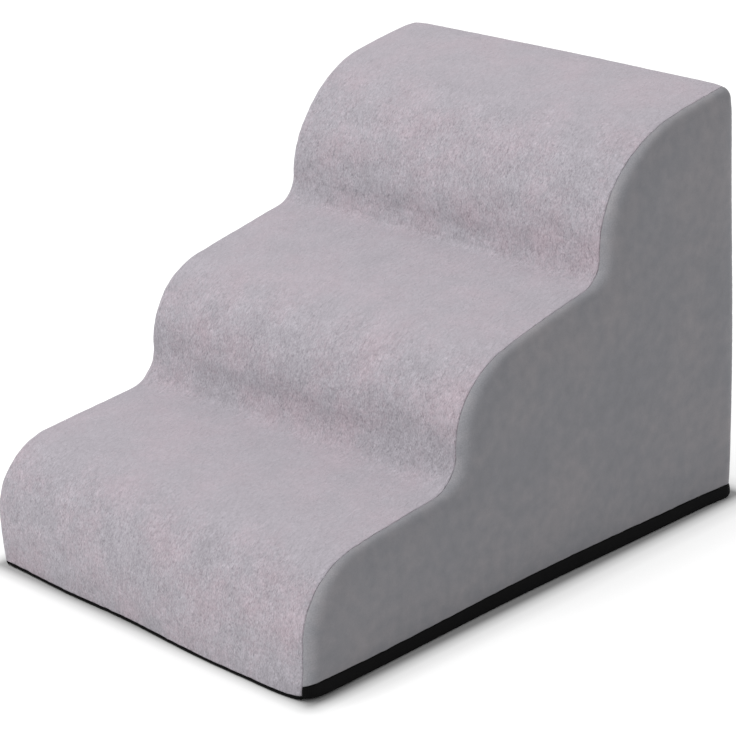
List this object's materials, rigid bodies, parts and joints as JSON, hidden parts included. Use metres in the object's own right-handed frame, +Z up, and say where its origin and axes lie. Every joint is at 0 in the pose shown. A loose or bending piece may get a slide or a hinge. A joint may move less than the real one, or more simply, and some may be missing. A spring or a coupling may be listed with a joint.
{
  "type": "pet stairs",
  "caption": "Foam pet stairs with three wave-shaped steps in a zipped fabric cover, plush on the treads and suede-like on the sides, over a black non-slip base.",
  "frame": {"origin": "on the floor under the middle of the overall box, which takes in the zip slider's bail behind the back panel", "axes": "+Z up, +Y from the lowest step to the back, +X to the right seen from the front"},
  "size_m": [0.4, 0.555, 0.3986],
  "materials": {
    "core_foam": "open-cell cut foam, matte",
    "tread_plush": "short brushed plush, lavender grey",
    "side_suede": "fine suede-like knit, mid grey",
    "base_cloth": "black non-slip cloth with small raised dots",
    "binding_cloth": "black padded edge binding, matte",
    "zip_tape": "black woven zip tape",
    "zip_coil": "black nylon coil",
    "zip_metal": "black enamelled zinc"
  },
  "bodies": {
    "stairs": {"foam_core": "core_foam", "tread_panel": "tread_plush", "side_panel_left": "side_suede", "side_panel_right": "side_suede", "back_panel_upper": "side_suede", "back_panel_lower": "side_suede", "base_sheet": "base_cloth", "base_binding_left": "binding_cloth", "base_binding_right": "binding_cloth", "base_binding_back": "binding_cloth", "base_binding_front": "binding_cloth", "zip_tape_upper": "zip_tape", "zip_tape_lower": "zip_tape", "zip_coil_upper": "zip_coil", "zip_coil_lower": "zip_coil", "zip_stop_left": "zip_metal", "zip_stop_right": "zip_metal"},
    "zip_slider": {"zip_slider": "zip_metal"},
    "zip_pull": {"zip_pull": "zip_metal"}
  },
  "joints": [
    {"name": "zip_slide", "type": "slide", "parent": "stairs", "child": "zip_slider", "axis": [-1, 0, 0], "range_m": [0, 0.3234]},
    {"name": "pull_swing", "type": "hinge", "parent": "zip_slider", "child": "zip_pull", "pos_m": [0.1587, 0.2745, 0.035], "axis": [0, 1, 0], "range_deg": [-45, 90]}
  ]
}
